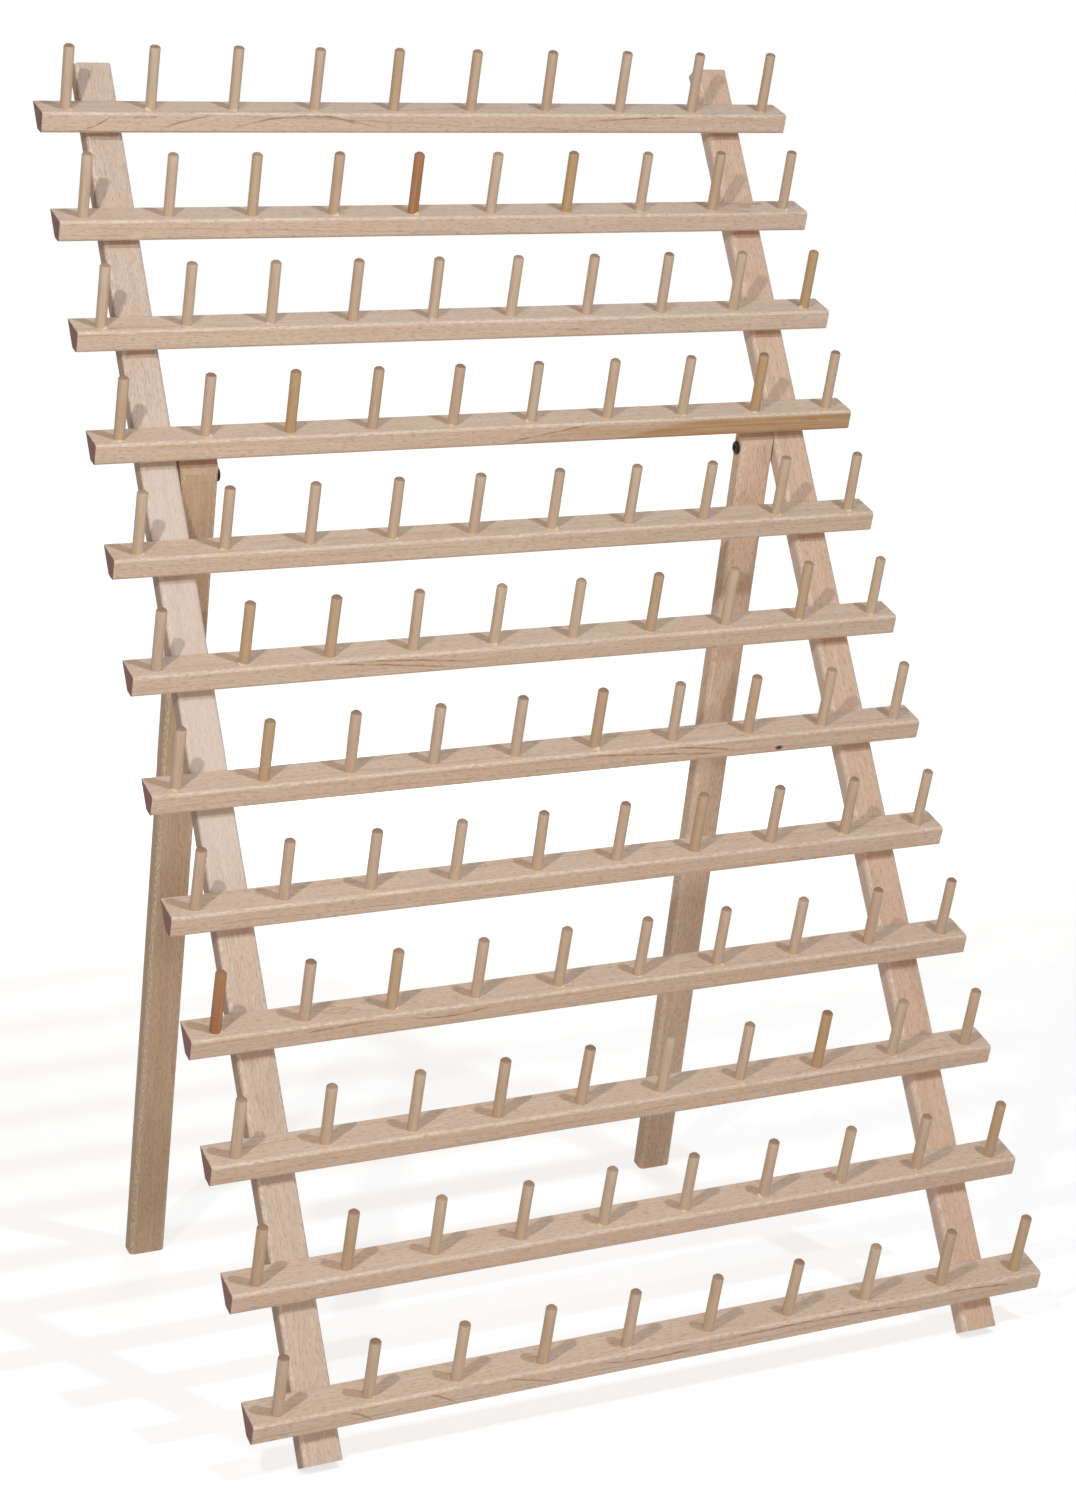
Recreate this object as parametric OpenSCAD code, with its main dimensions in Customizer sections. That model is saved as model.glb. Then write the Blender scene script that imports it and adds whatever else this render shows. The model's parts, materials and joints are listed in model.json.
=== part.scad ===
// Folding thread rack: pegged rails on two stiles, propped by two folding legs.
// Millimetres, +X along the rails, +Y to the back, +Z up. The origin lies on the
// floor under the middle of the open rack.

/* [Pegs] */
// Number of pegs on a rail
peg_count = 10; // [4:1:14]
// Distance between the axes of neighbouring pegs
peg_spacing = 38.1; // [32:0.1:50]
// Diameter of the dowel
peg_d = 4.76; // [3.5:0.01:5.5]
// Height of a peg above its rail
peg_height = 29; // [20:0.5:45]
// Chamfer round the tip of a peg
peg_chamfer = 0.8; // [0.3:0.1:1.5]
// Angle between the pegs and the face of the stiles
peg_tilt = 45; // [38:1:52]
// Distance from a rail's front face to the axis of its pegs
peg_setback = 5.3; // [4:0.1:6.5]
// Wood left past the end of a peg's bore, measured along the bore
peg_wall = 1.2; // [0.5:0.1:3]
// Taper of the glued end, on the radius
peg_taper = 0.05; // [0.02:0.01:0.2]

/* [Rails] */
// Number of rails
rail_count = 12; // [8:1:16]
// Distance from rail to rail along the stiles
rail_pitch = 50.8; // [42:0.1:70]
// Width of the top face, where the pegs stand
rail_top = 15.9; // [13:0.1:22]
// Height of the front face
rail_front = 9.5; // [8:0.1:12]
// Length of rail past the axis of the last peg
rail_overhang = 11.4; // [8:0.1:25]
// Radius of the eased front edges
rail_ease = 1.5; // [0.4:0.1:2]
// Radius of the broken back edges, where the bevel is cut
rail_break = 0.3; // [0.1:0.1:0.8]

/* [Stiles] */
// Width of a stile, seen from the front
stile_w = 17; // [15:0.1:24]
// Thickness of a stile, from front to back
stile_t = 9.5; // [8:0.1:14]
// Stile left above the top rail
stile_above = 18.2; // [8:0.1:40]
// Stile left below the bottom rail
stile_below = 16.5; // [8:0.1:40]
// Distance of a stile outwards from the middle between the last two pegs
stile_offset = 1; // [-3:0.1:3]
// Radius of the eased long edges
stile_ease = 2.4; // [0.5:0.1:3]

/* [Legs] */
// Rail that the tops of the legs stop against, counted from the top
stop_rail = 4; // [2:1:6]
// Distance of the pivot below that rail's lower back edge
pivot_drop = 7.6; // [5:0.1:10]
// Height of a folded leg's foot above the foot of its stile
fold_rise = 17.8; // [5:0.1:60]
// Width of a leg, seen from the front
leg_w = 17; // [12:0.1:24]
// Thickness of a leg, from front to back
leg_t = 9.5; // [8:0.1:12]
// Radius of the eased long edges
leg_ease = 2.4; // [0.5:0.1:3]
// Angle between an open leg and its stile
open_angle = 41; // [32:0.5:48]
// Gap between a leg and the side of its stile
leg_gap = 0.5; // [0.3:0.1:1.5]
// Gap between a folded leg and the backs of the rails
fold_gap = 0.4; // [0.3:0.05:1.5]
// Gap between an open leg's bevelled top and the rail that stops it
stop_gap = 0.1; // [0.05:0.05:0.3]

/* [Pivot screws] */
// Diameter of the plain shank
pivot_d = 4; // [3:0.1:5]
// Running clearance in the leg, on the radius
pivot_clearance = 0.08; // [0.02:0.01:0.1]
// Length held in the stile
pivot_bite = 13; // [8:0.5:14.5]
// Diameter of the pan head
pan_d = 6.2; // [5.5:0.1:9]
// Height of the pan head
pan_h = 1.4; // [1.2:0.1:3.5]
// Gap between the head and the leg
pan_gap = 0.3; // [0.2:0.05:0.6]

/* [Rail screws] */
// Diameter of the shank
rail_screw_d = 3; // [2.5:0.1:3.6]
// Diameter of the countersunk head
rail_screw_head_d = 6.4; // [5:0.1:7.5]
// Height of a screw above the rail's lower back edge
rail_screw_rise = 4.4; // [3:0.1:5.5]
// Wood left past the end of a screw's hole, measured along the hole
rail_screw_cover = 1; // [0.5:0.1:2]

/* [Fits] */
// Clearance of a glued or screwed piece in its hole, on the radius
hole_fit = 0.02; // [0.01:0.01:0.05]
// Length of a screw's point
screw_point = 3; // [2:0.1:5]
// Width of the slots of a cross recess
recess_w = 1; // [0.6:0.1:1.4]
// Length of the slots of a cross recess
recess_l = 3.4; // [2.4:0.1:4.5]
// Depth of a cross recess
recess_depth = 0.9; // [0.6:0.1:1.1]

/* [Hidden] */
$fn = 48;
eps = 0.01;

maple = "#cdb597";
maple_stile = "#cbb095";
maple_leg = "#b99d80";
birch_dowel = "#c2a176";
black_oxide = "#1d1b1a";
zinc = "#9a9a96";

left = -1;
right = 1;

// Section of a rail in the plane (Y, Z), with its top back edge at [0, 0]
top_dir = [-cos(peg_tilt), -sin(peg_tilt)];
peg_dir = [-sin(peg_tilt), cos(peg_tilt)];
back_h = rail_front / cos(peg_tilt);
rail_section = [
    [0, 0],
    rail_top * top_dir,
    rail_top * top_dir - rail_front * peg_dir,
    [0, -back_h]
];
rail_radii = [rail_break, rail_ease, rail_ease, rail_break];
rail_length = (peg_count - 1) * peg_spacing + 2 * rail_overhang;
peg_foot = (rail_top - peg_setback) * top_dir;
bore_r = peg_d / 2 + hole_fit;
seat_room = rail_top - peg_setback - bore_r;
peg_seat = min(seat_room / tan(peg_tilt), rail_front) - peg_wall;

// Stiles stand between the last two pegs at each end of the rails
stile_x = ((peg_count - 1) / 2 - 0.5) * peg_spacing + stile_offset;
stile_length = stile_below + back_h + (rail_count - 1) * rail_pitch + stile_above;
inner_face_x = stile_x - stile_w / 2;

// Pivot of the legs, in the plane (Y, Z) of the upright rack
pivot_y = leg_t / 2 + fold_gap;
pivot_z = rail_z(stop_rail) - back_h - pivot_drop;
leg_reach = pivot_z - fold_rise;
bevel_set = pivot_y - stop_gap;
leg_tip = (bevel_set + leg_t / 2 * cos(open_angle)) / sin(open_angle);
leg_dir = [sin(open_angle), -cos(open_angle)];
leg_back = [cos(open_angle), sin(open_angle)];
leg_x = inner_face_x - leg_gap - leg_w / 2;
pan_x = leg_x - leg_w / 2 - pan_gap;
pivot_length = pan_gap + leg_w + leg_gap + pivot_bite;

// The rack stands on the back edges of its stiles and the front edges of its legs
stile_heel = [stile_t, 0];
leg_axis_end = [pivot_y, pivot_z] + leg_reach * leg_dir;
leg_toe = leg_axis_end - leg_t / 2 * leg_back;
leg_heel = leg_axis_end + leg_t / 2 * leg_back;
stance = leg_toe - stile_heel;
lean = atan2(stance[1], stance[0]);
low_peg_rim = [0, rail_z(rail_count)] + peg_foot + (peg_height - peg_chamfer) * peg_dir;
front_y = floor_y(low_peg_rim) - peg_d / 2 * cos(peg_tilt - lean);
back_y = floor_y(leg_heel);

// Screws from the back of each stile into its rails
rail_screw_drop = back_h - rail_screw_rise;
screw_hole_r = rail_screw_d / 2 + hole_fit;
wood_over_screw = rail_depth(rail_screw_drop - screw_hole_r);
wood_under_screw = rail_depth(rail_screw_drop + screw_hole_r);
rail_screw_bite = min(wood_over_screw, wood_under_screw) - rail_screw_cover;
rail_screw_length = stile_t + rail_screw_bite;
countersink_h = (rail_screw_head_d - rail_screw_d) / 2;

rails = [1 : rail_count];

function two_digits(i) = i < 10 ? str("0", i) : str(i);
function rail_name(i) = str("rail_", two_digits(i));
function pegs_name(i) = str("pegs_row_", two_digits(i));

// Height of a rail's top back edge above the foot of the stiles
function rail_z(i) = stile_below + back_h + (rail_count - i) * rail_pitch;

// Depth of a rail, from its back to its top or front face, at a drop below its top back edge
function rail_depth(drop) =
    let (below_nose = drop - rail_top * sin(peg_tilt))
    below_nose < 0
        ? drop / tan(peg_tilt)
        : rail_top * cos(peg_tilt) - below_nose * tan(peg_tilt);

// Distance behind the heel of the stiles, along the floor, of a point of the rack
function floor_y(p) = (p[0] - stile_heel[0]) * cos(lean) + p[1] * sin(lean);

function unit(v) = v / norm(v);

// Ends and centre of the arc of radius r that eases corner p between its neighbours a and b
function corner_arc(a, p, b, r) =
    let (
        to_a = unit(a - p),
        to_b = unit(b - p),
        half = acos(to_a * to_b) / 2,
        reach = r / tan(half)
    )
    [p + reach * to_a, p + reach * to_b, p + unit(to_a + to_b) * r / sin(half)];

// Leans the upright rack back until it stands on the floor, centred on the origin
module stand()
    translate([0, -(front_y + back_y) / 2, 0])
        rotate([-lean, 0, 0])
            translate([0, -stile_heel[0], 0])
                children();

module on_side(side)
    if (side == left) mirror([1, 0, 0]) children();
    else children();

module place(p)
    translate([0, p[0], p[1]]) children();

// An outline with each of its corners rounded by an arc of that corner's radius
module eased(points, radii) {
    n = len(points);
    arcs = [for (i = [0 : n - 1])
        corner_arc(points[(i + n - 1) % n], points[i], points[(i + 1) % n], radii[i])];
    polygon([for (arc = arcs) each [arc[0], arc[1]]]);
    for (i = [0 : n - 1]) translate(arcs[i][2]) circle(radii[i]);
}

module eased_rectangle(w, t, r)
    eased([[-w, -t], [w, -t], [w, t], [-w, t]] / 2, [r, r, r, r]);

// Turns an outline in (Y, Z) into a bar along X
module bar(length)
    rotate([90, 0, 90])
        linear_extrude(length, center = true)
            children();

module cross_recess(top)
    for (turn = [0, 90])
        rotate(turn)
            translate([-recess_l / 2, -recess_w / 2, top - recess_depth])
                cube([recess_l, recess_w, recess_depth + eps]);

// Pieces of a rail: the bar and its dowels

module at_pegs(i)
    place([0, rail_z(i)] + peg_foot)
        for (k = [0 : peg_count - 1])
            translate([(k - (peg_count - 1) / 2) * peg_spacing, 0, 0])
                rotate([peg_tilt, 0, 0])
                    children();

module peg() {
    r = peg_d / 2;
    rotate_extrude()
        polygon([
            [0, -peg_seat],
            [r - peg_taper, -peg_seat],
            [r, 0],
            [r, peg_height - peg_chamfer],
            [r - peg_chamfer, peg_height],
            [0, peg_height]
        ]);
}

module peg_bore()
    translate([0, 0, -peg_seat])
        cylinder(r = bore_r, h = peg_seat + rail_top);

module rail(i)
    color(maple) stand()
        difference() {
            place([0, rail_z(i)]) bar(rail_length) eased(rail_section, rail_radii);
            at_pegs(i) peg_bore();
            for (side = [left, right])
                at_rail_screw(side, i) rail_screw_pilot();
        }

module pegs_row(i)
    color(birch_dowel) stand() at_pegs(i) peg();

// Screws that hold the rails, driven from the back of the stiles

module at_rail_screw(side, i)
    translate([side * stile_x, stile_t, rail_z(i) - rail_screw_drop])
        rotate([-90, 0, 0])
            children();

module rail_screw() {
    r = rail_screw_d / 2;
    difference() {
        rotate_extrude()
            polygon([
                [0, 0],
                [0, -rail_screw_length],
                [r, -rail_screw_length + screw_point],
                [r, -countersink_h],
                [rail_screw_head_d / 2, 0]
            ]);
        cross_recess(0);
    }
}

module rail_screw_pilot()
    translate([0, 0, -rail_screw_length])
        cylinder(r = screw_hole_r, h = rail_screw_length);

module countersunk_hole() {
    head_r = rail_screw_head_d / 2 + hole_fit;
    translate([0, 0, -stile_t - eps])
        cylinder(r = screw_hole_r, h = stile_t + 2 * eps);
    translate([0, 0, screw_hole_r - head_r])
        cylinder(r1 = screw_hole_r, r2 = head_r + eps, h = head_r - screw_hole_r + eps);
}

module rail_screws(side)
    color(zinc) stand()
        for (i = rails) at_rail_screw(side, i) rail_screw();

// Stiles

module stile(side)
    color(maple_stile) stand()
        difference() {
            translate([side * stile_x, stile_t / 2, 0])
                linear_extrude(stile_length)
                    eased_rectangle(stile_w, stile_t, stile_ease);
            for (i = rails) at_rail_screw(side, i) countersunk_hole();
            on_side(side) at_pivot() pivot_pilot();
        }

// Legs and the screws they turn on

module at_pivot()
    translate([pan_x, pivot_y, pivot_z])
        rotate([0, 90, 0])
            children();

module pivot_pilot()
    cylinder(r = pivot_d / 2 + hole_fit, h = pivot_length);

module pivot_screw(side) {
    r = pivot_d / 2;
    crown = [for (turn = [0 : 15 : 90])
        [pan_d / 2 * sin(turn), -pan_h * (1 + cos(turn)) / 2]];
    color(black_oxide) stand() on_side(side) at_pivot()
        difference() {
            rotate_extrude()
                polygon(concat(
                    [[0, pivot_length]],
                    crown,
                    [[pan_d / 2, 0], [r, 0], [r, pivot_length - screw_point]]
                ));
            mirror([0, 0, 1]) cross_recess(pan_h);
        }
}

// A leg hangs from its pivot along -Z before it swings open
module leg_stick()
    translate([0, 0, -leg_reach])
        linear_extrude(leg_reach + leg_tip + leg_t)
            eased_rectangle(leg_w, leg_t, leg_ease);

// Space taken by the backs of the rails when a leg is open
module stop_space() {
    size = 2 * (leg_tip + leg_t + leg_w);
    rotate([-open_angle, 0, 0])
        translate([-size / 2, -bevel_set - size, -size / 2])
            cube(size);
}

module leg(side)
    color(maple_leg) stand() on_side(side)
        translate([leg_x, pivot_y, pivot_z])
            rotate([open_angle, 0, 0])
                difference() {
                    leg_stick();
                    stop_space();
                    rotate([0, 90, 0])
                        cylinder(r = pivot_d / 2 + pivot_clearance, h = 2 * leg_w, center = true);
                }

stile(left);  // left_stile
stile(right);  // right_stile
for (i = rails) {
    rail(i);
    pegs_row(i);
}
leg(left);  // left_leg
leg(right);  // right_leg
pivot_screw(left);  // left_pivot_screw
pivot_screw(right);  // right_pivot_screw
rail_screws(left);  // rail_screws_left
rail_screws(right);  // rail_screws_right
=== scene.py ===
import json
import math
import random

import bmesh
import bpy
from mathutils import Matrix, Vector


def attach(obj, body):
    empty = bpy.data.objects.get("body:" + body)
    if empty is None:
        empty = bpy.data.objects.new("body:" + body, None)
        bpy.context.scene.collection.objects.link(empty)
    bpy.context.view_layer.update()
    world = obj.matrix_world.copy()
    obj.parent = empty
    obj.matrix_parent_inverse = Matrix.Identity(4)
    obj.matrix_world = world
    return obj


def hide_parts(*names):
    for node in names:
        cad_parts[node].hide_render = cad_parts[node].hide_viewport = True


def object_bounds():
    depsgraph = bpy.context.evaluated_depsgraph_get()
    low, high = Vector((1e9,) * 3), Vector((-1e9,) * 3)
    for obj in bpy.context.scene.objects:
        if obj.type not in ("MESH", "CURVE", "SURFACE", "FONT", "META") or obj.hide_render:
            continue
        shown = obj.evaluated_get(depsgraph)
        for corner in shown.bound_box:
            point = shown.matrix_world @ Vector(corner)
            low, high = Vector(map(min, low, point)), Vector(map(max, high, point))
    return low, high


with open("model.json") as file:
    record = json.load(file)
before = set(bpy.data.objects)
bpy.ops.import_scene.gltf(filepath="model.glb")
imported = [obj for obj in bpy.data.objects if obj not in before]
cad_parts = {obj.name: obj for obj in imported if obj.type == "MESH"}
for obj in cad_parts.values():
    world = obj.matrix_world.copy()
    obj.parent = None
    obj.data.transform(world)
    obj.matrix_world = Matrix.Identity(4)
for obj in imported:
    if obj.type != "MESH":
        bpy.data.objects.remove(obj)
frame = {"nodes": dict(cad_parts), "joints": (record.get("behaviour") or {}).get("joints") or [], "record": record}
cadLow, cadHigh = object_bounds()
print("frame loaded:", len(frame["nodes"]), "nodes")

mm = 0.001
railCount = sum(name.startswith("pegs_row_") for name in frame["nodes"])
pegsPerRail = 10
mounts = {mount["name"]: mount for mount in frame["record"]["mounts"]}

# Directions of the standing rack
acrossAxis = Vector((1, 0, 0))
pegAxis = Vector(mounts["spool_peg"]["axis"])
frontAxis = acrossAxis.cross(pegAxis)  # along a rail's top face, to the front
backAxis = Vector(mounts["left_stile_back"]["axis"])
upAxis = acrossAxis.cross(backAxis)  # along the stiles
openAngle = math.radians(max(frame["joints"][0]["range_deg"]))
openTurn = Matrix.Rotation(openAngle, 3, "X")
legAxis = openTurn @ -upAxis  # down an open leg
legBackAxis = openTurn @ backAxis


def railNode(i):
    return f"rail_{i:02d}"


def pegsNode(i):
    return f"pegs_row_{i:02d}"


def span(node, axis):  # how far a CAD node reaches along an axis
    reach = [vertex.co.dot(axis) for vertex in frame["nodes"][node].data.vertices]
    return min(reach), max(reach)


def middle(node, axis):
    return sum(span(node, axis)) / 2


def tint(red, green, blue):  # a colour as a picture editor shows it
    def linear(level):
        share = level / 255
        return share / 12.92 if share <= 0.04045 else ((share + 0.055) / 1.055) ** 2.4

    return (linear(red), linear(green), linear(blue), 1)


def blendOf(first, second, share):
    return tuple(a + (b - a) * share for a, b in zip(first, second))


def dress(node, finish):  # gives a CAD node its finish
    slots = frame["nodes"][node].data.materials
    slots.clear()
    slots.append(finish.material)


# Shader sums in plain Python
class Sock:
    def __init__(self, finish, out):
        self.finish = finish
        self.out = out

    def calc(self, operation, *values):
        return self.finish.node("ShaderNodeMath", {"operation": operation}, dict(enumerate(values)))

    def __add__(self, other):
        return self.calc("ADD", self, other)

    def __radd__(self, other):
        return self.calc("ADD", other, self)

    def __sub__(self, other):
        return self.calc("SUBTRACT", self, other)

    def __rsub__(self, other):
        return self.calc("SUBTRACT", other, self)

    def __mul__(self, other):
        return self.calc("MULTIPLY", self, other)

    def __rmul__(self, other):
        return self.calc("MULTIPLY", other, self)

    def __truediv__(self, other):
        return self.calc("DIVIDE", self, other)

    def __rtruediv__(self, other):
        return self.calc("DIVIDE", other, self)

    def __pow__(self, other):
        return self.calc("POWER", self, other)

    def __abs__(self):
        return self.calc("ABSOLUTE", self)

    def floor(self):
        return self.calc("FLOOR", self)

    def orMore(self, other):
        return self.calc("MAXIMUM", self, other)

    def step(self, low, high):  # smooth rise from 0 at low to 1 at high
        settings = {"interpolation_type": "SMOOTHSTEP"}
        return self.finish.node("ShaderNodeMapRange", settings, {0: self, 1: low, 2: high})

    def dot(self, axis):
        settings = {"operation": "DOT_PRODUCT"}
        return self.finish.node("ShaderNodeVectorMath", settings, {0: self, 1: axis}, "Value")


# One material and its nodes
class Finish:
    def __init__(self, name, tree=None):
        if tree is None:
            self.material = bpy.data.materials.new(name)
            self.material.use_nodes = True
            tree = self.material.node_tree
        self.tree = tree
        self.tree.nodes.clear()

    def node(self, kind, settings=None, sockets=None, out=0):
        made = self.tree.nodes.new(kind)
        for name, value in (settings or {}).items():
            if name == "stops":
                self.setStops(made.color_ramp, value)
            else:
                setattr(made, name, value)
        for name, value in (sockets or {}).items():
            if isinstance(value, Sock):
                self.tree.links.new(value.out, made.inputs[name])
            else:
                made.inputs[name].default_value = value
        return Sock(self, made.outputs[out]) if made.outputs else None

    def setStops(self, ramp, stops):
        while len(ramp.elements) < len(stops):
            ramp.elements.new(1)
        for element, (place, level) in zip(ramp.elements, stops):
            element.position = place
            element.color = (level, level, level, 1)

    def mix(self, share, first, second):
        return self.node("ShaderNodeMix", {"data_type": "RGBA"}, {0: share, 6: first, 7: second}, 2)

    def places(self, origin, *axes):  # millimetres from an origin along each axis
        here = self.node("ShaderNodeTexCoord", out="Object")
        offset = self.node("ShaderNodeVectorMath", {"operation": "SUBTRACT"}, {0: here, 1: origin})
        return [offset.dot(axis / mm) for axis in axes]

    def facing(self, *axes):  # how squarely the surface faces each axis
        normal = self.node("ShaderNodeTexCoord", out="Normal")
        return [normal.dot(axis) for axis in axes]

    def point(self, x, y, z):
        return self.node("ShaderNodeCombineXYZ", sockets={0: x, 1: y, 2: z})

    def noise(self, point, detail=2.0):
        return self.node("ShaderNodeTexNoise", sockets={"Vector": point, "Scale": 1, "Detail": detail})

    def chance(self, point):  # a steady random value for each whole number
        return self.node("ShaderNodeTexWhiteNoise", sockets={"Vector": point})

    def ramp(self, value, *stops):
        return self.node("ShaderNodeValToRGB", {"stops": stops}, {0: value})

    def surface(self, colour, rough, height, bumpDepth, **fixed):
        relief = {"Height": height, "Distance": bumpDepth, "Strength": 1}
        bump = self.node("ShaderNodeBump", sockets=relief)
        sockets = {"Base Color": colour, "Roughness": rough, "Normal": bump}
        sockets.update({name.replace("_", " "): value for name, value in fixed.items()})
        shader = self.node("ShaderNodeBsdfPrincipled", sockets=sockets)
        self.node("ShaderNodeOutputMaterial", sockets={"Surface": shader})


# Solid wood: the same growth rings, fibres and pores run through every face of a piece
woodLook = {
    "pale": tint(235, 216, 197),
    "tan": tint(209, 183, 157),
    "pink": tint(222, 192, 175),
    "line": tint(160, 118, 82),
    "pore": tint(166, 130, 104),
    "endPale": tint(174, 131, 122),
    "endDark": tint(126, 88, 80),
    # pale arris colour: partly real edge wear, partly a painted highlight along the rounded edges
    "edgeWearAndPaintedHighlight": tint(244, 228, 212),
    "ringWidth": 3.6,
    "bumpDepth": 0.12 * mm,
    "shine": 0.35,
}
woodGrain = {  # noises per millimetre along and across the grain, and their detail
    "slow": (0.012, 0.05, 2),
    "broad": (0.008, 0.33, 3),
    "fibre": (0.04, 1.5, 4),
    "cloud": (0.045, 0.12, 3),
    "dash": (0.3, 2.2, 2),
    "dapple": (0.35, 0.5, 2),
    "fleck": (0.5, 1.6, 2),
    "grit": (0.28, 1.5, 2),
    "speck": (0.5, 4, 2),
}


def grainNoise(finish, along, wide, deep, name, seed):
    run, cross, detail = woodGrain[name]
    return finish.noise(finish.point(along * run + seed, wide * cross, deep * cross), detail)


def wood(finish, along, wide, deep, ends, edges, cut):
    seed = cut["seed"]
    place = (finish, along, wide, deep)
    slow = grainNoise(*place, "slow", seed)
    broad = grainNoise(*place, "broad", seed)
    fibre = grainNoise(*place, "fibre", seed)
    cloud = grainNoise(*place, "cloud", seed)
    dash = grainNoise(*place, "dash", seed)
    dapple = grainNoise(*place, "dapple", seed)
    fleck = grainNoise(*place, "fleck", seed)
    grit = grainNoise(*place, "grit", -seed)
    speck = grainNoise(*place, "speck", seed)

    # Rings about a pith that leans a little from the piece's length
    fromWide = wide - cut["pith"][0] - along * cut["drift"][0] - (slow - 0.5) * cut["sway"]
    fromDeep = deep - cut["pith"][1] - along * cut["drift"][1] - (cloud - 0.5) * 3
    turns = (fromWide * fromWide + fromDeep * fromDeep) ** 0.5 / woodLook["ringWidth"] + seed
    ringNumber = turns.floor()
    ringStops = ((0, 0.2), (0.08, 0), (0.74, 0), (0.9, 0.35), (0.96, 1), (1, 0.3))
    late = finish.ramp(turns - ringNumber, *ringStops)
    strength = finish.chance(finish.point(ringNumber, seed, 0)).step(0.2, 0.9)
    ring = late * strength * cloud.step(0.3, 0.62)

    base = finish.mix(0.2 + broad.step(0.3, 0.7) * 0.55, cut["pale"], cut["tan"])
    base = finish.mix(cloud.step(0.35, 0.75) * 0.5, base, cut["pink"])
    base = finish.mix(fibre.step(0.4, 0.65) * 0.7, base, cut["tan"])
    base = finish.mix(dapple.step(0.5, 0.75) * 0.3, base, cut["pale"])
    base = finish.mix(fleck.step(0.48, 0.66) * 0.5, base, cut["pale"])
    base = finish.mix(grit.step(0.5, 0.7) * 0.42, base, woodLook["pore"])
    base = finish.mix(ring * cut["rings"], base, woodLook["line"])
    base = finish.mix(dash.step(0.6, 0.76) * 0.4, base, woodLook["pore"])
    # pale arrises: edge wear mixed with a painted highlight along the rounded edges
    base = finish.mix(edges * (0.1 + fleck.step(0.46, 0.62) * cut["edgeWearAndPaintedHighlightShare"]), base, woodLook["edgeWearAndPaintedHighlight"])

    endWood = finish.mix(speck.step(0.3, 0.7), woodLook["endPale"], woodLook["endDark"])
    endWood = finish.mix(late * 0.4, endWood, woodLook["endDark"])
    colour = finish.mix(ends, base, endWood)
    rough = 0.5 + fibre * 0.2 + ends * 0.15
    height = fibre * 0.6 + dash * 0.3 - ring * 0.3 + ends * speck * 0.8
    return colour, rough, height


# Rails
railLook = {
    "seed": 4,
    "stain": tint(184, 141, 92),
    "stainWedge": (4.8, 9.5),  # slope of its edge, and the depth of the front
    "knot": tint(92, 56, 38),
    "knotEdge": (1.6, 0.5),  # where its colour starts and where it is full, in millimetres from its middle
    # a painted highlight round the edges of each rail's end faces
    "paintedEndHighlight": tint(226, 190, 176),
    "paintedEndHighlightWidth": 0.9,
    "lineWidth": 0.7,
    "lineWave": 1.2,
}
railCuts = {  # what differs from a plain stick, by the rail's number from the top, in millimetres
    1: {
        "rings": 0.8,
        "lines": (  # start and end of a grain line along the front, its depth at start, middle and end
            (-165, -152, -7.5, -5.6, -1.2),
            (-130, -106, -7.2, -3.6, -1.0),
            (-143, -131, -2.2, -1.8, -2.0),
            (-97, -27, -7.2, -1.4, -7.0),
            (-54, -38, -1.0, -2.6, -5.4),
            (78, 128, -3.5, -2.0, -1.6),
        ),
    },
    3: {"lines": ((45, 55, -5.6, -5.4, -5.8),)},
    4: {
        "stain": ((6, 0.45), (57, 0.85)),  # where each wedge starts along the rail, and its strength
        "lines": ((4, 48, -8.4, -4.4, -0.6), (155, 166, -3.8, -3.5, -4.0)),
    },
    6: {"lines": ((-98, -40, -1.3, -4.0, -7.4), (-84, -28, -1.0, -2.8, -5.8))},
    7: {"knot": (110, -6.8), "lines": ((12, 82, -1.0, -3.8, -6.6), (57, 92, -1.6, -3.6, -6.6))},
    9: {"lines": ((-88, -52, -3.0, -4.6, -2.4), (-135, -105, -3.3, -2.4, -1.8))},
    12: {
        "rings": 0.7,
        "lines": (
            (-144, -132, -2.0, -4.4, -8.4),
            (-109, -95, -1.0, -4.2, -8.6),
            (-75, -50, -0.8, -4.2, -8.0),
            (-33, 14, -2.2, -4.8, -3.4),
            (16, 124, -3.2, -2.2, -5.2),
            (134, 168, -1.0, -1.8, -3.6),
        ),
    },
}


def grainLine(finish, along, deep, line):  # a thin curved line on a rail's front
    start, end, first, middleDepth, last = line
    run = (along - start) / (end - start)
    bow = (1 - run) * run * 4
    path = first + (last - first) * run + bow * (middleDepth - (first + last) / 2)
    wave = finish.noise(finish.point(along * 0.12 + start, 0.0, 0.0), 2)
    off = abs(deep - path - (wave - 0.5) * railLook["lineWave"])
    fade = abs(run - 0.5).step(0.55, 0.3)
    return off.step(railLook["lineWidth"], 0.05) * fade * (0.35 + wave.step(0.35, 0.6) * 0.65)


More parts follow.
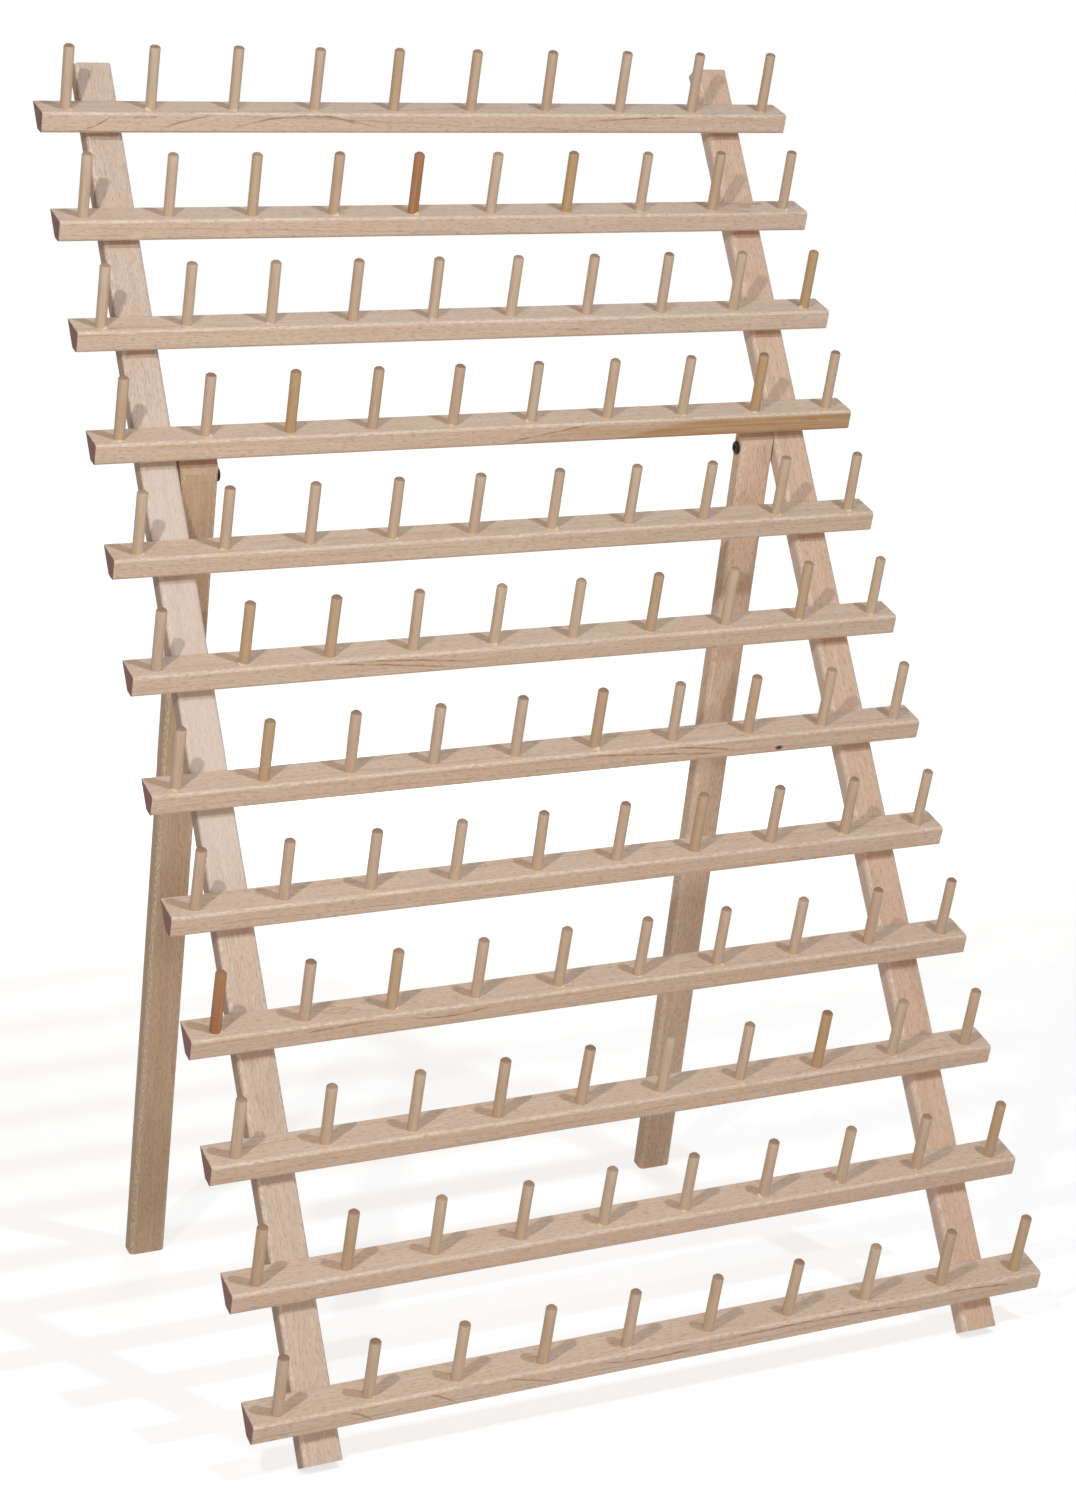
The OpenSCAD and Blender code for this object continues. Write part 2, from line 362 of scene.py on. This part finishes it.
def railWood(i, dice):
    finish = Finish(f"railWood{i:02d}")
    nose = frontAxis * span(railNode(i), frontAxis)[1] + pegAxis * span(railNode(i), pegAxis)[1]
    along, wide, deep = finish.places(nose, acrossAxis, frontAxis, pegAxis)
    endFace, frontFace, topFace = finish.facing(acrossAxis, frontAxis, pegAxis)
    ends = abs(endFace).step(0.6, 0.8)
    edges = (frontFace.orMore(0) * topFace.orMore(0) * 2).step(0.1, 0.9)
    low = i / railCount  # the lower rails are a little pinker
    cut = {
        "seed": dice.uniform(0, 90),
        "pith": (dice.uniform(-40, 25), dice.uniform(-60, -25)),
        "drift": (dice.uniform(-0.02, 0.02), dice.uniform(-0.03, 0.03)),
        "sway": dice.uniform(4, 10),
        "rings": dice.uniform(0.35, 0.6),
        "edgeWearAndPaintedHighlightShare": 0.35,
        "pale": blendOf(woodLook["pale"], woodLook["pink"], 0.35 * low + dice.uniform(0, 0.25)),
        "tan": blendOf(woodLook["tan"], woodLook["pink"], dice.uniform(0, 0.5)),
        "pink": woodLook["pink"],
    }
    cut.update(railCuts.get(i, {}))
    colour, rough, height = wood(finish, along, wide, deep, ends, edges, cut)
    for line in cut.get("lines", ()):
        mark = grainLine(finish, along, deep, line) * frontFace.step(0.5, 0.9)
        colour = finish.mix(mark * 0.85, colour, woodLook["line"])
    for place, strength in cut.get("stain", ()):
        slope, depth = railLook["stainWedge"]
        streak = finish.noise(finish.point(along * 0.02 + place, wide * 0.9, deep * 0.9), 4)
        inside = (along - place - (deep + depth) * slope + (streak - 0.5) * 20).step(-4, 8)
        share = inside * (0.45 + streak.step(0.38, 0.6) * 0.55) * deep.step(-0.3, -2.0)
        colour = finish.mix(share * strength, colour, railLook["stain"])
    if "knot" in cut:
        place, drop = cut["knot"]
        away = ((along - place) ** 2 * 0.35 + (deep - drop) ** 2) ** 0.5
        share = away.step(*railLook["knotEdge"]) * frontFace.step(0.5, 0.8)
        colour = finish.mix(share, colour, railLook["knot"])
    # painted highlight: a pale band round the rim of each rail end
    paintedEndHighlightWidth = railLook["paintedEndHighlightWidth"]
    paintedEndHighlight = wide.step(-paintedEndHighlightWidth, 0).orMore(deep.step(-paintedEndHighlightWidth, 0))
    colour = finish.mix(ends * paintedEndHighlight * 0.8, colour, railLook["paintedEndHighlight"])
    finish.surface(colour, rough, height, woodLook["bumpDepth"], Specular_IOR_Level=woodLook["shine"])
    return finish


railDice = random.Random(railLook["seed"])
for i in range(1, railCount + 1):
    dress(railNode(i), railWood(i, railDice))
print("rails finished:", railCount)


# Stiles and legs: flat sticks with eased edges
stickLook = {
    "seed": 11,
    "left_stile": {
        "pale": tint(219, 200, 185),
        "tan": tint(202, 176, 157),
        "bright": 0.45,
        # the left stile's narrow sides are darkened: painted shade
        "sides": (0.8, tint(174, 143, 122)),  # strength and tone of the narrow sides
    },
    "right_stile": {
        "pale": tint(226, 197, 176),
        "tan": tint(208, 173, 149),
        # the right stile's narrow sides are paler: painted light
        "sides": (0.8, tint(228, 205, 192)),
    },
    "left_leg": {"pale": tint(213, 186, 159), "tan": tint(194, 160, 126)},
    # the right leg is painted paler than the left leg: painted light standing in for fill that reaches it
    "right_leg": {"pale": tint(240, 214, 191), "tan": tint(225, 191, 163)},
    "brightPart": (30, 135),  # middle and half length along the stick, in millimetres
    "brightTone": tint(233, 220, 212),
}


def stickWood(node, lengthAxis, depthAxis, dice):
    look = stickLook[node]
    finish = Finish(node + "Wood")
    axes = (lengthAxis, acrossAxis, depthAxis)
    centre = sum((axis * middle(node, axis) for axis in axes), Vector())
    along, wide, deep = finish.places(centre, *axes)
    endFace, sideFace, broadFace = (abs(face) for face in finish.facing(*axes))
    ends = endFace.step(0.6, 0.8)
    edges = (sideFace * broadFace * 2).step(0.1, 0.9)
    cut = {
        "seed": dice.uniform(0, 90),
        "pith": (dice.uniform(-12, 12), dice.uniform(25, 45)),
        "drift": (dice.uniform(-0.01, 0.01), dice.choice((-1, 1)) * dice.uniform(0.015, 0.03)),
        "sway": dice.uniform(4, 10),
        "rings": dice.uniform(0.25, 0.4),
        "edgeWearAndPaintedHighlightShare": 0.5,
        "pale": look["pale"],
        "tan": look["tan"],
        "pink": blendOf(look["pale"], look["tan"], 0.5),
    }
    colour, rough, height = wood(finish, along, wide, deep, ends, edges, cut)
    if "bright" in look:  # a stretch of paler sapwood
        place, half = stickLook["brightPart"]
        share = abs(along - place).step(half, half * 0.5) * (1 - ends) * look["bright"]
        colour = finish.mix(share * (0.6 + rough * 0.4), colour, stickLook["brightTone"])
    # narrow sides tinted: painted shade on the left stile, painted light on the right stile
    if "sides" in look:
        strength, tone = look["sides"]
        colour = finish.mix(sideFace.step(0.75, 0.95) * strength, colour, tone)
    finish.surface(colour, rough, height, woodLook["bumpDepth"], Specular_IOR_Level=woodLook["shine"])
    dress(node, finish)


stickDice = random.Random(stickLook["seed"])
for side in ("left", "right"):
    stickWood(side + "_stile", upAxis, backAxis, stickDice)
    stickWood(side + "_leg", legAxis, legBackAxis, stickDice)
print("stiles and legs finished")


# Pegs: cut dowels, each a little different, glued in by hand
pegLook = {
    "seed": 23,
    "sides": 28,
    "tilt": 0.7,  # degrees that a peg may stand off square
    "length": 0.5,  # millimetres that a peg may be long or short
    "chamfer": (0.7, 1.1),
    "sink": 6.5,
    "pale": tint(216, 194, 171),
    "gold": tint(198, 165, 125),
    "pink": tint(206, 177, 158),
    "red": tint(172, 116, 80),
    "tip": tint(142, 106, 86),
    "line": tint(160, 118, 82),
    "bumpDepth": 0.1 * mm,
}
pegMarks = {  # dowels that stand out, by rail and by place along it
    (2, 5): "red",
    (9, 1): "red",
    (2, 7): "gold",
    (3, 10): "gold",
    (4, 3): "gold",
    (4, 9): "gold",
    (10, 8): "gold",
}


def rowSizes(i):
    left, right = span(pegsNode(i), acrossAxis)
    radius = mounts["spool_peg"]["dims"]["r_mm"] * mm
    foot = span(railNode(i), pegAxis)[1]
    return {
        "radius": radius,
        "height": span(pegsNode(i), pegAxis)[1] - foot,
        "first": left + radius,
        "step": (right - left - 2 * radius) / (pegsPerRail - 1),
        "foot": pegAxis * foot + frontAxis * middle(pegsNode(i), frontAxis),
    }


def pegProfile(radius, height, chamfer, sink):  # (radius, height) from the seat to the tip
    soft = chamfer * 0.25
    return [
        (radius * 0.97, -sink),
        (radius, 0),
        (radius, height * 0.33),
        (radius * 0.995, height * 0.66),
        (radius, height - chamfer - soft),
        (radius - soft * 0.35, height - chamfer + soft * 0.35),
        (radius - chamfer + soft * 0.35, height - soft * 0.35),
        (radius - chamfer - soft, height),
        (radius * 0.3, height + 0.04 * mm),
    ]


def addLathe(mesh, profile, sides, place):
    rings = []
    for radius, level in profile:
        turns = [2 * math.pi * k / sides for k in range(sides)]
        points = [Vector((radius * math.cos(turn), radius * math.sin(turn), level)) for turn in turns]
        rings.append([mesh.verts.new(place @ point) for point in points])
    for lower, upper in zip(rings, rings[1:]):
        for k in range(sides):
            mesh.faces.new((lower[k - 1], lower[k], upper[k], upper[k - 1]))
    mesh.faces.new(reversed(rings[0]))
    mesh.faces.new(rings[-1])


def meshPiece(name, mesh, finish, body="rack"):
    data = bpy.data.meshes.new(name)
    mesh.to_mesh(data)
    mesh.free()
    data.polygons.foreach_set("use_smooth", [True] * len(data.polygons))
    data.materials.append(finish.material)
    piece = bpy.data.objects.new(name, data)
    bpy.context.scene.collection.objects.link(piece)
    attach(piece, body)
    return piece


standUp = Matrix((acrossAxis, pegAxis.cross(acrossAxis), pegAxis)).transposed().to_4x4()


def pegRow(i, dice):
    sizes = rowSizes(i)
    mesh = bmesh.new()
    for column in range(pegsPerRail):
        foot = sizes["foot"] + acrossAxis * (sizes["first"] + column * sizes["step"])
        lean = math.radians(dice.gauss(0, pegLook["tilt"] / 2))
        turn = dice.uniform(0, 2 * math.pi)
        heading = Vector((math.cos(turn), math.sin(turn), 0))
        height = sizes["height"] - dice.uniform(0, pegLook["length"]) * mm
        chamfer = dice.uniform(*pegLook["chamfer"]) * mm
        profile = pegProfile(sizes["radius"], height, chamfer, pegLook["sink"] * mm)
        place = Matrix.Translation(foot) @ standUp @ Matrix.Rotation(lean, 4, heading)
        addLathe(mesh, profile, pegLook["sides"], place)
    piece = meshPiece(f"pegs{i:02d}", mesh, pegWood(i, sizes, dice))
    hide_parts(pegsNode(i))


def pegWood(i, sizes, dice):
    finish = Finish(f"pegWood{i:02d}")
    foot = sizes["foot"] + acrossAxis * sizes["first"]
    across, front, up = finish.places(foot, acrossAxis, frontAxis, pegAxis)
    step = sizes["step"] / mm
    column = (across / step + 0.5).floor()
    wide = across - column * step
    seed = dice.uniform(0, 90)
    tone = finish.chance(finish.point(column, seed, 1))
    shade = finish.chance(finish.point(column, seed, 2))
    place = column * 7.3 + seed
    broad = finish.noise(finish.point(up * 0.02 + place, wide * 0.5, front * 0.5), 2)
    fibre = finish.noise(finish.point(up * 0.07 + place, wide * 3, front * 3), 3)
    dash = finish.noise(finish.point(up * 0.5 + place, wide * 4, front * 4), 1)
    colour = finish.mix(tone.step(0.5, 1.2), pegLook["pale"], pegLook["gold"])
    colour = finish.mix(shade * 0.5, colour, pegLook["pink"])
    for (row, number), name in pegMarks.items():
        if row == i:
            colour = finish.mix(abs(column - (number - 1)).step(0.6, 0.4), colour, pegLook[name])
    colour = finish.mix(broad.step(0.4, 0.75) * 0.4, colour, pegLook["gold"])
    colour = finish.mix(fibre.step(0.45, 0.8) * 0.4, colour, pegLook["line"])
    colour = finish.mix(dash.step(0.66, 0.76) * 0.3, colour, pegLook["line"])
    upFace = finish.facing(pegAxis)[0]
    endWood = upFace.step(0.35, 0.75)
    colour = finish.mix(endWood * (0.3 + shade * 0.4 + dash * 0.4), colour, pegLook["tip"])
    height = fibre * 0.7 + endWood * dash
    rough = 0.5 + fibre * 0.2
    finish.surface(colour, rough, height, pegLook["bumpDepth"], Specular_IOR_Level=woodLook["shine"])
    return finish


pegDice = random.Random(pegLook["seed"])
for i in range(1, railCount + 1):
    pegRow(i, pegDice)
print("pegs turned:", railCount * pegsPerRail)


# Beads of glue squeezed out at the feet of the pegs
glueLook = {
    "seed": 31,
    "sides": 28,
    "ring": (0.08, 0.22),  # the least that shows round a peg
    "bead": (0.6, 1.5),  # a larger drop on some of them
    "beadShare": 0.4,
    "bury": 0.15,
    "cream": tint(226, 208, 182),
    "amber": tint(204, 176, 140),
    "bumpDepth": 0.1 * mm,
    "shine": 0.4,
}


def glueRow(i, finish, dice):
    sizes = rowSizes(i)
    radius = sizes["radius"]
    bury = glueLook["bury"] * mm
    sides = glueLook["sides"]
    mesh = bmesh.new()
    for column in range(pegsPerRail):
        foot = sizes["foot"] + acrossAxis * (sizes["first"] + column * sizes["step"])
        place = Matrix.Translation(foot) @ standUp
        thin = dice.uniform(*glueLook["ring"])
        drop = dice.uniform(*glueLook["bead"]) if dice.random() < glueLook["beadShare"] else 0
        heading = dice.uniform(-math.pi, 0.3)
        spread = dice.uniform(0.35, 0.7)
        loops = []
        for k in range(sides):
            turn = 2 * math.pi * k / sides
            off = math.remainder(turn - heading, 2 * math.pi)
            size = (thin + drop * math.exp(-((off / spread) ** 2))) * mm
            section = [
                (radius - bury, -bury),
                (radius - bury, size),
                (radius + size * 0.15, size * 0.8),
                (radius + size * 0.55, size * 0.5),
                (radius + size, size * 0.05),
                (radius + size, -bury),
            ]
            spoke = Vector((math.cos(turn), math.sin(turn), 0))
            points = [spoke * out + Vector((0, 0, level)) for out, level in section]
            loops.append([mesh.verts.new(place @ point) for point in points])
        for near, far in zip(loops, loops[1:] + loops[:1]):
            for k in range(len(near)):
                mesh.faces.new((near[k - 1], near[k], far[k], far[k - 1]))
    bmesh.ops.recalc_face_normals(mesh, faces=mesh.faces)
    meshPiece(f"glue{i:02d}", mesh, finish)


def glueFinish():
    finish = Finish("driedGlue")
    x, y, z = finish.places(Vector(), acrossAxis, frontAxis, pegAxis)
    lump = finish.noise(finish.point(x, y, z), 2)
    colour = finish.mix(lump.step(0.35, 0.7), glueLook["cream"], glueLook["amber"])
    rough = 0.3 + lump * 0.2
    finish.surface(colour, rough, lump, glueLook["bumpDepth"], Specular_IOR_Level=glueLook["shine"])
    return finish


glueDice = random.Random(glueLook["seed"])
dried = glueFinish()
for i in range(1, railCount + 1):
    glueRow(i, dried, glueDice)
print("glue beads set")


# Screws
screwLook = {
    "blackOxide": {"fresh": tint(34, 32, 31), "worn": tint(54, 51, 49), "metal": 0.6, "rough": 0.3},
    "zincPlate": {"fresh": tint(182, 182, 176), "worn": tint(136, 134, 128), "metal": 1.0, "rough": 0.25},
    "bumpDepth": 0.05 * mm,
}


def screwFinish(name):
    look = screwLook[name]
    finish = Finish(name)
    x, y, z = finish.places(Vector(), acrossAxis, backAxis, upAxis)
    patch = finish.noise(finish.point(x * 0.6, y * 0.6, z * 0.6), 3)
    grit = finish.noise(finish.point(x * 6, y * 6, z * 6), 2)
    colour = finish.mix(patch.step(0.45, 0.7) * 0.8, look["fresh"], look["worn"])
    rough = look["rough"] + patch * 0.2
    finish.surface(colour, rough, grit, screwLook["bumpDepth"], Metallic=look["metal"])
    return finish


blackOxide = screwFinish("blackOxide")
zincPlate = screwFinish("zincPlate")
for side in ("left", "right"):
    dress(side + "_pivot_screw", blackOxide)
    dress("rail_screws_" + side, zincPlate)
print("screws finished")


# Floor, light and camera
stageLook = {
    "floorHalf": 8.0,  # metres from the middle to an edge
    "floorGrey": 0.8,
    "floorGlow": (0.75, 1.0),  # what the eye sees besides light and shade, near the rack and far off
    "floorReach": (600, 2200),  # millimetres from the rack's middle
    "floorShade": 0.42,
    "ambient": 0.19,
    "ambientTint": (1, 0.91, 0.84, 1),
}
lampLook = {  # place in metres, size in metres, power in watts
    "leftLamp": {"place": (-0.62, -0.73, 0.87), "size": 0.03, "watts": 4.0, "tint": (0.985, 0.985, 0.95)},
    "rightLamp": {"place": (0.27, -0.97, 1.49), "size": 0.05, "watts": 8.6, "tint": (0.82, 0.92, 1)},
    "lowLamp": {"place": (-0.20, -1.10, 0.10), "size": 0.50, "watts": 2.8, "tint": (1, 0.87, 0.75)},
    "backLamp": {"place": (0.45, 1.35, 0.42), "size": 0.7, "watts": 7.5, "tint": (1, 0.96, 0.92)},
}
shotLook = {
    "place": Vector((-555.93, -1247.59, 498.85)) * mm,
    "turn": (81.8925, 0.5238, -27.3615),
    "lens": 74.455,
    "shift": (-0.1039, -0.0758),  # the photograph is cut out off its middle
}


def seenRay(finish):  # 1 for what the eye sees, directly or in metal
    seen = finish.node("ShaderNodeLightPath", out="Is Camera Ray")
    for name in ("Is Glossy Ray", "Is Transmission Ray"):
        seen = seen.orMore(finish.node("ShaderNodeLightPath", out=name))
    return seen


def buildFloor():
    finish = Finish("floorPaper")
    x, y, z = finish.places(Vector(), acrossAxis, Vector((0, 1, 0)), Vector((0, 0, 1)))
    grain = finish.noise(finish.point(x * 0.02, y * 0.02, 0.0), 2)
    grey = stageLook["floorGrey"]
    paper = finish.mix(grain, (grey, grey, grey, 1), (grey * 0.98, grey * 0.98, grey * 0.98, 1))
    plain = finish.node("ShaderNodeBsdfDiffuse", sockets={"Color": paper})
    shade = stageLook["floorShade"]
    shaded = finish.node("ShaderNodeBsdfDiffuse", sockets={"Color": (shade, shade, shade, 1)})
    near, far = stageLook["floorGlow"]
    away = (x ** 2 + y ** 2) ** 0.5
    strength = near + away.step(*stageLook["floorReach"]) * (far - near)
    glow = finish.node("ShaderNodeEmission", sockets={"Strength": strength})
    seen = finish.node("ShaderNodeAddShader", sockets={0: shaded, 1: glow})
    both = finish.node("ShaderNodeMixShader", sockets={0: seenRay(finish), 1: plain, 2: seen})
    finish.node("ShaderNodeOutputMaterial", sockets={"Surface": both})
    half = stageLook["floorHalf"]
    corners = [(-half, -half, 0), (half, -half, 0), (half, half, 0), (-half, half, 0)]
    data = bpy.data.meshes.new("floor")
    data.from_pydata(corners, [], [(0, 1, 2, 3)])
    data.materials.append(finish.material)
    floor = bpy.data.objects.new("floor", data)
    bpy.context.scene.collection.objects.link(floor)


def lightWorld():
    world = bpy.data.worlds.new("studio")
    world.use_nodes = True
    bpy.context.scene.world = world
    finish = Finish("studio", world.node_tree)
    seen = seenRay(finish)
    strength = seen + (1 - seen) * stageLook["ambient"]
    colour = finish.mix(seen, stageLook["ambientTint"], (1, 1, 1, 1))
    glow = finish.node("ShaderNodeBackground", sockets={"Color": colour, "Strength": strength})
    finish.node("ShaderNodeOutputWorld", sockets={"Surface": glow})


def hangLamp(name, look):
    data = bpy.data.lights.new(name, "AREA")
    data.shape = "DISK"
    data.size = look["size"]
    data.energy = look["watts"]
    data.color = look["tint"]
    lamp = bpy.data.objects.new(name, data)
    aim = (cadLow + cadHigh) / 2
    lamp.location = look["place"]
    lamp.rotation_euler = (aim - lamp.location).to_track_quat("-Z", "Y").to_euler()
    bpy.context.scene.collection.objects.link(lamp)


def setCamera():
    data = bpy.data.cameras.new("camera")
    data.lens = shotLook["lens"]
    data.shift_x, data.shift_y = shotLook["shift"]
    camera = bpy.data.objects.new("camera", data)
    camera.location = shotLook["place"]
    camera.rotation_euler = [math.radians(turn) for turn in shotLook["turn"]]
    bpy.context.scene.collection.objects.link(camera)
    bpy.context.scene.camera = camera


buildFloor()
lightWorld()
for name, look in lampLook.items():
    hangLamp(name, look)
setCamera()
bpy.context.scene.view_settings.view_transform = "Standard"
print("stage set")
